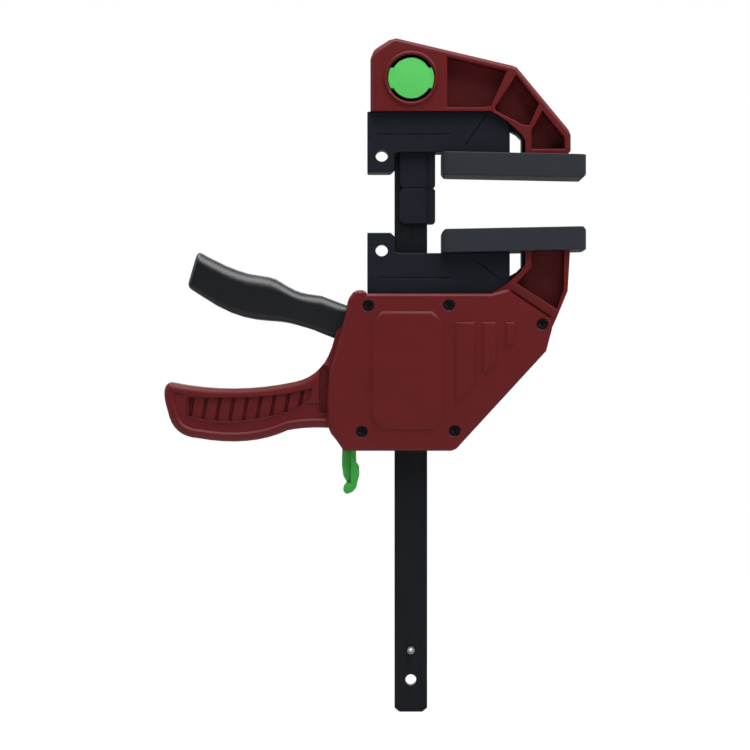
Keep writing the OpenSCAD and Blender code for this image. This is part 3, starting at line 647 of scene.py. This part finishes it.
# Lines pressed into the brackets' faces, each from X and Z to X and Z, in millimetres
BRACKET_GROOVES = {
    "fixed": (((-21.8, 349.8), (26.2, 349.8)), ((47.7, 361.7), (35.0, 343.1))),
    "moving": (((-21.0, 257.9), (25.7, 257.9)), ((42.6, 268.2), (58.9, 256.0))),
}


class CLAMP_OT_brackets(bpy.types.Operator):
    """Dresses the two black brackets, with the lines pressed into their faces"""
    bl_idname = "clamp.brackets"
    bl_label = "Brackets"

    def execute(self, context):
        rounds = context.scene.clamp_rounds
        line_width = 0.8 * MM
        line_depth = 0.4 * MM
        line_tilt = math.radians(45)
        for jaw, body in JAWS.items():
            bracket = copy_node(f"{jaw}_jaw_bracket", f"{jaw}_bracket")
            round_all(bracket, [
                (lambda e: on_plane(e, BRACKET_FACE), rounds.bracket),
                (lambda e: on_plane(e, THIN_FACE), rounds.bracket / 2)])
            for start, stop in BRACKET_GROOVES[jaw]:
                groove(bracket, Vector(start) * MM, Vector(stop) * MM, BRACKET_FACE,
                       line_width, line_depth, line_tilt)
            dress(bracket, finish("nylon"), body, "black_nylon", f"{jaw}_jaw_bracket")
        return {"FINISHED"}


class CLAMP_OT_pads(bpy.types.Operator):
    """Dresses the two long pads"""
    bl_idname = "clamp.pads"
    bl_label = "Pads"

    def execute(self, context):
        rounds = context.scene.clamp_rounds
        for jaw, body in JAWS.items():
            pad = copy_node(f"{jaw}_jaw_pad", f"{jaw}_pad")
            round_all(pad, [(lambda e: max(abs(v.co.y) for v in e.verts) > BRACKET_FACE, rounds.pad)])
            dress(pad, finish("pad"), body, "black_pad", f"{jaw}_jaw_pad")
        return {"FINISHED"}


class CLAMP_OT_button(bpy.types.Operator):
    """Makes the round release button with its slightly domed face, and the cap behind it"""
    bl_idname = "clamp.button"
    bl_label = "Release button"

    def execute(self, context):
        rounds = context.scene.clamp_rounds
        face_share = 0.88
        cap_round = 0.5 * MM
        low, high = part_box("release_button")
        face = Vector(((low.x + high.x) / 2, low.y, (low.z + high.z) / 2))
        legs = copy_node("release_button", "button_legs")
        round_edges(legs, lambda e: is_corner(e) and on_plane(e, -face.y), rounds.button / 3, segments=2)
        dress(legs, finish("button"), "button", "button_plastic", "release_button")
        self.disc(face, face_share * (high.x - low.x) / 2, rounds.button)
        cap = copy_node("button_rear_cap", "rear_cap")
        round_edges(cap, is_corner, cap_round, segments=2)
        dress(cap, finish("nylon"), "bar", "black_nylon", "button_rear_cap")
        return {"FINISHED"}

    def disc(self, face, radius, edge_round):
        """Makes the button's round face, drawn up ring by ring into a shallow dome."""
        skin = 3 * MM
        ring_width = 2.6 * MM
        ring_rises = (0.2, 0.14, 0.08, 0.03)
        bpy.ops.object.select_all(action="DESELECT")
        bpy.ops.mesh.primitive_circle_add(vertices=96, radius=radius + NEAR, fill_type="NGON",
                                          location=face, rotation=(math.radians(90), 0, 0))
        disc = bpy.context.object
        disc.name = "button_face"
        bpy.ops.object.transform_apply(location=True, rotation=True, scale=True)
        edit(disc)
        bpy.ops.mesh.select_all(action="SELECT")
        bpy.ops.mesh.extrude_region_move(TRANSFORM_OT_translate={"value": (0, skin, 0)})
        bpy.ops.mesh.select_all(action="SELECT")
        bpy.ops.mesh.normals_make_consistent(inside=False)
        bpy.ops.transform.translate(value=(0, -2 * NEAR, 0))
        front = face.y - 2 * NEAR
        round_edges(disc, lambda e: on_plane(e, -front), edge_round, segments=5)
        pick(disc, "FACE", lambda f: flat_at(f, -front))
        for rise in ring_rises:
            bpy.ops.mesh.inset(thickness=ring_width, depth=rise * MM)
        dress(disc, finish("button"), "button", "button_plastic", "release_button")


# How a panel's side rises in two slopes: each one's shares of the side's width and of its rise
SLOPE_SHARES = ((0.45, 0.78), (0.55, 0.22))

# The line pressed into the lower arm, from X and Z to X and Z, in millimetres
ARM_GROOVE = ((64.0, 249.5), (89.4, 232.7))


class CLAMP_OT_covers(bpy.types.Operator):
    """Dresses the two halves of the body, its handle and the lower arm"""
    bl_idname = "clamp.covers"
    bl_label = "Covers"

    def execute(self, context):
        rounds = context.scene.clamp_rounds
        groove_width = 1.2 * MM
        groove_depth = 1.0 * MM
        groove_start, groove_end = (Vector(point) * MM for point in ARM_GROOVE)
        for side, out in (("front", -1), ("rear", 1)):
            cover = copy_node(f"{side}_shell", f"{side}_cover")
            self.slope_panel(cover, rounds, out)
            self.shape_handle(cover, rounds, out)
            self.round_outline(cover, rounds)
            groove(cover, groove_start, groove_end, ARM_FACE, groove_width, groove_depth)
            dress(cover, finish("crimson"), "carriage", "red_nylon", f"{side}_shell")
        return {"FINISHED"}

    def slope_panel(self, cover, rounds, out):
        """Slopes the sides of the panel and of the three raised bars."""
        foot_height = 0.15 * MM
        rise = PANEL_FACE - COVER_FACE - foot_height
        bars_start = 26 * MM
        for slope, test in ((rounds.panel, lambda x: x < bars_start),
                            (rounds.raised_bar, lambda x: x > bars_start)):
            pick(cover, "FACE", lambda f: flat_at(f, PANEL_FACE) and test(f.calc_center_median().x))
            bpy.ops.transform.translate(value=(0, -out * rise, 0))
            for width_share, rise_share in SLOPE_SHARES:
                bpy.ops.mesh.inset(thickness=width_share * slope, depth=rise_share * rise)

    def shape_handle(self, cover, rounds, out):
        """Rounds the handle, leaves a rim along its end and foot, and sinks the recess and its ribs."""
        rim_width = 1.4 * MM
        rim_height = 1.2 * MM
        floor_sunk = 1.6 * MM
        recess_left = -142.2 * MM
        recess_right_z = 179 * MM
        rim_top_z = 186 * MM
        round_edges(cover, lambda e: is_corner(e) and on_plane(e, HANDLE_FACE) and reaches(e, HANDLE_FACE),
                    rounds.handle, segments=6)
        for place, normal in (((recess_left, 0, 0), (1, 0, 0)), ((0, 0, recess_right_z), (0, 0, 1)),
                              ((0, 0, rim_top_z), (0, 0, 1))):
            pick(cover, "FACE", lambda f: flat_at(f, HANDLE_FACE))
            bpy.ops.mesh.bisect(plane_co=place, plane_no=normal)

        def in_band(face):
            """True for the flat band round the recess, except above it."""
            centre = face.calc_center_median()
            return flat_at(face, HANDLE_FACE) and centre.z < rim_top_z and not (
                centre.x > recess_left and centre.z > recess_right_z)

        pick(cover, "FACE", in_band)
        bpy.ops.mesh.inset(thickness=rim_width, depth=-rim_height)
        for depth, distance in ((RIB_FACE, RIB_SUNK), (RECESS_FLOOR, floor_sunk)):
            pick(cover, "FACE", lambda f: flat_at(f, depth))
            bpy.ops.transform.translate(value=(0, -out * distance, 0))

    def round_outline(self, cover, rounds):
        """Rounds the covers' outline, the lower arm, the screw seats and the ribs in one step."""
        seat_facet = 0.6 * MM
        slanted = 0.2
        right_facing = 0.3
        handle_side = HANDLE_FACE - rounds.handle
        outer_depths = (COVER_FACE, ARM_FACE, HANDLE_FACE, handle_side)

        def on_cover(edge):
            """True on a cover's face, past the short facets round a screw's seat."""
            return on_plane(edge, COVER_FACE) and edge.calc_length() > seat_facet

        def is_seam(edge):
            """True along the step from the covers down to the lower arm."""
            normal = wall_normal(edge)
            return not reaches(edge, COVER_FACE) and normal.x > slanted and normal.z > slanted

        def stands(edge):
            """True for a corner that runs the whole depth of a cover."""
            depths = sorted(abs(v.co.y) for v in edge.verts)
            return depths[0] < NEAR and abs(depths[1] - COVER_FACE) < NEAR

        def off_bracket(edge):
            """True along the lower arm's outline, away from the bracket that lies in it."""
            normal = wall_normal(edge)
            return on_plane(edge, ARM_FACE) and reaches(edge, ARM_FACE) and normal.x > FACING

        round_all(cover, [
            (lambda e: on_cover(e) and is_seam(e), rounds.seam),
            (lambda e: on_cover(e) and wall_normal(e).x > right_facing, rounds.cover_low),
            (on_cover, rounds.cover),
            (lambda e: on_plane(e, COVER_FACE), rounds.screw),
            (off_bracket, rounds.cover_low),
            (lambda e: on_plane(e, ARM_FACE) and not reaches(e, ARM_FACE), rounds.pocket),
            (lambda e: on_plane(e, HANDLE_FACE) and not reaches(e, HANDLE_FACE, handle_side), rounds.recess),
            (lambda e: on_plane(e, RIB_FACE - RIB_SUNK), rounds.rib),
            (stands, rounds.corner),
            (lambda e: on_plane(e, 0) and reaches(e, *outer_depths), rounds.seam)],
            segments=4, profile=0.32)


class CLAMP_OT_screws(bpy.types.Operator):
    """Dresses the five cover screws"""
    bl_idname = "clamp.screws"
    bl_label = "Cover screws"

    def execute(self, context):
        head_round = 0.35 * MM
        screws = copy_node("cover_screws", "five_cover_screws")
        round_edges(screws, lambda e: is_corner(e) and middle(e).y < -ARM_FACE, head_round, segments=2)
        dress(screws, finish("oxide"), "carriage", "black_screw", "cover_screws")
        return {"FINISHED"}


# The grip's cross-sections from its tip to inside the body, in millimetres: the X and Z of its top and
# of its foot, and half its depth
GRIP_SECTIONS = (
    ((-136.6, 275.6), (-143.3, 252.3), 11.8),
    ((-129.5, 271.7), (-136.0, 247.5), 12.0),
    ((-118.4, 266.2), (-124.5, 240.3), 12.0),
    ((-110.5, 263.1), (-115.5, 235.9), 12.0),
    ((-103.7, 261.0), (-107.5, 233.2), 12.0),
    ((-96.3, 259.8), (-99.5, 231.6), 12.0),
    ((-90.4, 258.8), (-92.0, 230.8), 12.0),
    ((-86.5, 257.6), (-87.5, 230.5), 12.0),
    ((-81.7, 254.8), (-82.3, 230.0), 12.0),
    ((-78.0, 252.6), (-78.3, 229.3), 12.0),
    ((-74.3, 250.7), (-74.3, 228.3), 11.8),
    ((-70.5, 249.2), (-70.5, 227.2), 11.2),
    ((-66.9, 248.3), (-66.9, 226.2), 10.2),
    ((-62.0, 247.5), (-62.0, 224.6), 9.3),
    ((-57.3, 246.9), (-57.3, 222.6), 9.05),
    ((-48.0, 243.4), (-48.0, 219.0), 9.05),
    ((-38.5, 239.8), (-40.5, 223.0), 9.05))


class CLAMP_OT_lever(bpy.types.Operator):
    """Makes the squeeze lever: a grip drawn through its sections, and the neck inside the body"""
    bl_idname = "clamp.lever"
    bl_label = "Squeeze lever"

    def execute(self, context):
        self.grip()
        self.neck()
        return {"FINISHED"}

    def grip(self):
        """Draws the rounded grip from its tip into the body, one cross-section after another."""
        top_round = 8 * MM
        foot_round = 3.5 * MM
        tip_round = 3 * MM
        sections = [(Vector((t[0], 0, t[1])) * MM, Vector((f[0], 0, f[1])) * MM, half * MM)
                    for t, f, half in GRIP_SECTIONS]
        top, foot, half = sections[0]
        centre = (top + foot) / 2
        tall = (top - foot).length
        bpy.ops.object.select_all(action="DESELECT")
        bpy.ops.mesh.primitive_plane_add(size=1, location=centre, rotation=(0, math.radians(90), 0))
        grip = bpy.context.object
        grip.name = "black_grip"
        bpy.ops.object.transform_apply(location=True, rotation=True, scale=True)
        edit(grip)
        bpy.ops.mesh.select_all(action="SELECT")
        bpy.ops.transform.resize(value=(1, 2 * half, tall), center_override=centre)
        for above, radius, segments in ((True, top_round, 8), (False, foot_round, 4)):
            bpy.ops.mesh.select_mode(type="VERT")
            bpy.ops.mesh.select_all(action="DESELECT")
            shape = bmesh.from_edit_mesh(grip.data)
            corner = max(v.co.z for v in shape.verts) if above else min(v.co.z for v in shape.verts)
            for vert in shape.verts:
                vert.select_set(abs(vert.co.z - corner) < NEAR)
            bmesh.update_edit_mesh(grip.data)
            bpy.ops.mesh.bevel(offset=radius, segments=segments, affect="VERTICES")
        bpy.ops.mesh.select_mode(type="FACE")
        bpy.ops.mesh.select_all(action="SELECT")
        lean = lean_of(top, foot)
        turn(lean, centre)
        for top, foot, next_half in sections[1:]:
            here = (top + foot) / 2
            next_tall = (top - foot).length
            bpy.ops.mesh.extrude_region_move(TRANSFORM_OT_translate={"value": here - centre})
            turn(-lean, here)
            bpy.ops.transform.resize(value=(1, next_half / half, next_tall / tall), center_override=here)
            lean = lean_of(top, foot)
            turn(lean, here)
            centre, half, tall = here, next_half, next_tall
        bpy.ops.mesh.select_all(action="SELECT")
        bpy.ops.mesh.normals_make_consistent(inside=False)
        end = min((f for f in bmesh.from_edit_mesh(grip.data).faces if len(f.verts) > 4),
                  key=lambda f: f.calc_center_median().x).index
        round_edges(grip, lambda e: any(f.index == end for f in e.link_faces), tip_round, segments=4)
        dress(grip, finish("lever"), "lever", "lever_plastic", "squeeze_lever")

    def neck(self):
        """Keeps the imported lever's end with its pivot and nose, cut off inside the grip."""
        neck_start = -41 * MM
        neck = copy_node("squeeze_lever", "lever_neck")
        bpy.ops.mesh.select_all(action="SELECT")
        bpy.ops.mesh.bisect(plane_co=(neck_start, 0, 0), plane_no=(1, 0, 0), use_fill=True,
                            clear_inner=True)
        dress(neck, finish("lever"), "lever", "lever_plastic", "squeeze_lever")


def lean_of(top, foot):
    """The angle by which the line from foot to top leans over towards X."""
    line = top - foot
    return math.atan2(line.x, line.z)


def turn(angle, centre):
    """Turns what is selected about Y, from Z towards X."""
    bpy.ops.transform.rotate(value=-angle, orient_axis="Y", center_override=centre)


# The step sunk along the trigger's left part, from X and Z to X and Z, in millimetres
TRIGGER_STEP = ((-42.4, 150), (-42.4, 127))


class CLAMP_OT_trigger(bpy.types.Operator):
    """Dresses the green release trigger, with the step sunk into its faces"""
    bl_idname = "clamp.trigger"
    bl_label = "Release trigger"

    def execute(self, context):
        edge_round = 0.7 * MM
        step_width = 8 * MM
        step_depth = 3 * MM
        step_top, step_foot = (Vector(point) * MM for point in TRIGGER_STEP)
        trigger = copy_node("release_trigger", "green_trigger")
        round_all(trigger, [(lambda e: on_plane(e, TRIGGER_FACE), edge_round)], segments=4)
        groove(trigger, step_top, step_foot, TRIGGER_FACE, step_width, step_depth)
        dress(trigger, finish("trigger"), "trigger", "trigger_plastic", "release_trigger")
        return {"FINISHED"}


# Pieces inside the clamp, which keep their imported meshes
INNER = {
    "zinc": ("lock_plate", "lock_pin", "lever_pin", "trigger_pin", "spring_seat"),
    "wire": ("button_spring", "drive_spring", "brake_spring"),
    "plate": ("drive_plate_1", "drive_plate_2", "drive_plate_3", "brake_plate_1", "brake_plate_2"),
}


class CLAMP_OT_inner(bpy.types.Operator):
    """Gives the pins, springs and plates inside the clamp their metals"""
    bl_idname = "clamp.inner"
    bl_label = "Inner pieces"

    def execute(self, context):
        for name, nodes in INNER.items():
            for node in nodes:
                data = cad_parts[node].data
                data.materials.clear()
                data.materials.append(finish(name))
        return {"FINISHED"}


OPERATORS = (
    CLAMP_OT_stage, CLAMP_OT_bar, CLAMP_OT_clips, CLAMP_OT_fixed_arm, CLAMP_OT_brackets, CLAMP_OT_pads,
    CLAMP_OT_button, CLAMP_OT_covers, CLAMP_OT_screws, CLAMP_OT_lever, CLAMP_OT_trigger, CLAMP_OT_inner)


class CLAMP_PT_panel(bpy.types.Panel):
    """Lists the clamp's pieces in the 3D view's sidebar"""
    bl_idname = "CLAMP_PT_panel"
    bl_label = "Bar clamp"
    bl_space_type = "VIEW_3D"
    bl_region_type = "UI"
    bl_category = "Bar clamp"

    def draw(self, context):
        for group in (context.scene.clamp_stage, context.scene.clamp_colours, context.scene.clamp_rounds):
            box = self.layout.box()
            for key in group.__annotations__:
                box.prop(group, key)
        for operator in OPERATORS:
            self.layout.operator(operator.bl_idname)


GROUPS = {"clamp_stage": ClampStage, "clamp_colours": ClampColours, "clamp_rounds": ClampRounds}


def register():
    """Registers the settings, the operators and the panel."""
    for name, group in GROUPS.items():
        bpy.utils.register_class(group)
        setattr(bpy.types.Scene, name, bpy.props.PointerProperty(type=group))
    for operator in OPERATORS:
        bpy.utils.register_class(operator)
    bpy.utils.register_class(CLAMP_PT_panel)


def unregister():
    """Takes the panel, the operators and the settings away again."""
    bpy.utils.unregister_class(CLAMP_PT_panel)
    for operator in reversed(OPERATORS):
        bpy.utils.unregister_class(operator)
    for name, group in reversed(GROUPS.items()):
        delattr(bpy.types.Scene, name)
        bpy.utils.unregister_class(group)


def main():
    """Makes the whole clamp."""
    register()
    for operator in OPERATORS:
        group, name = operator.bl_idname.split(".")
        getattr(getattr(bpy.ops, group), name)()


if __name__ == "__main__":
    main()
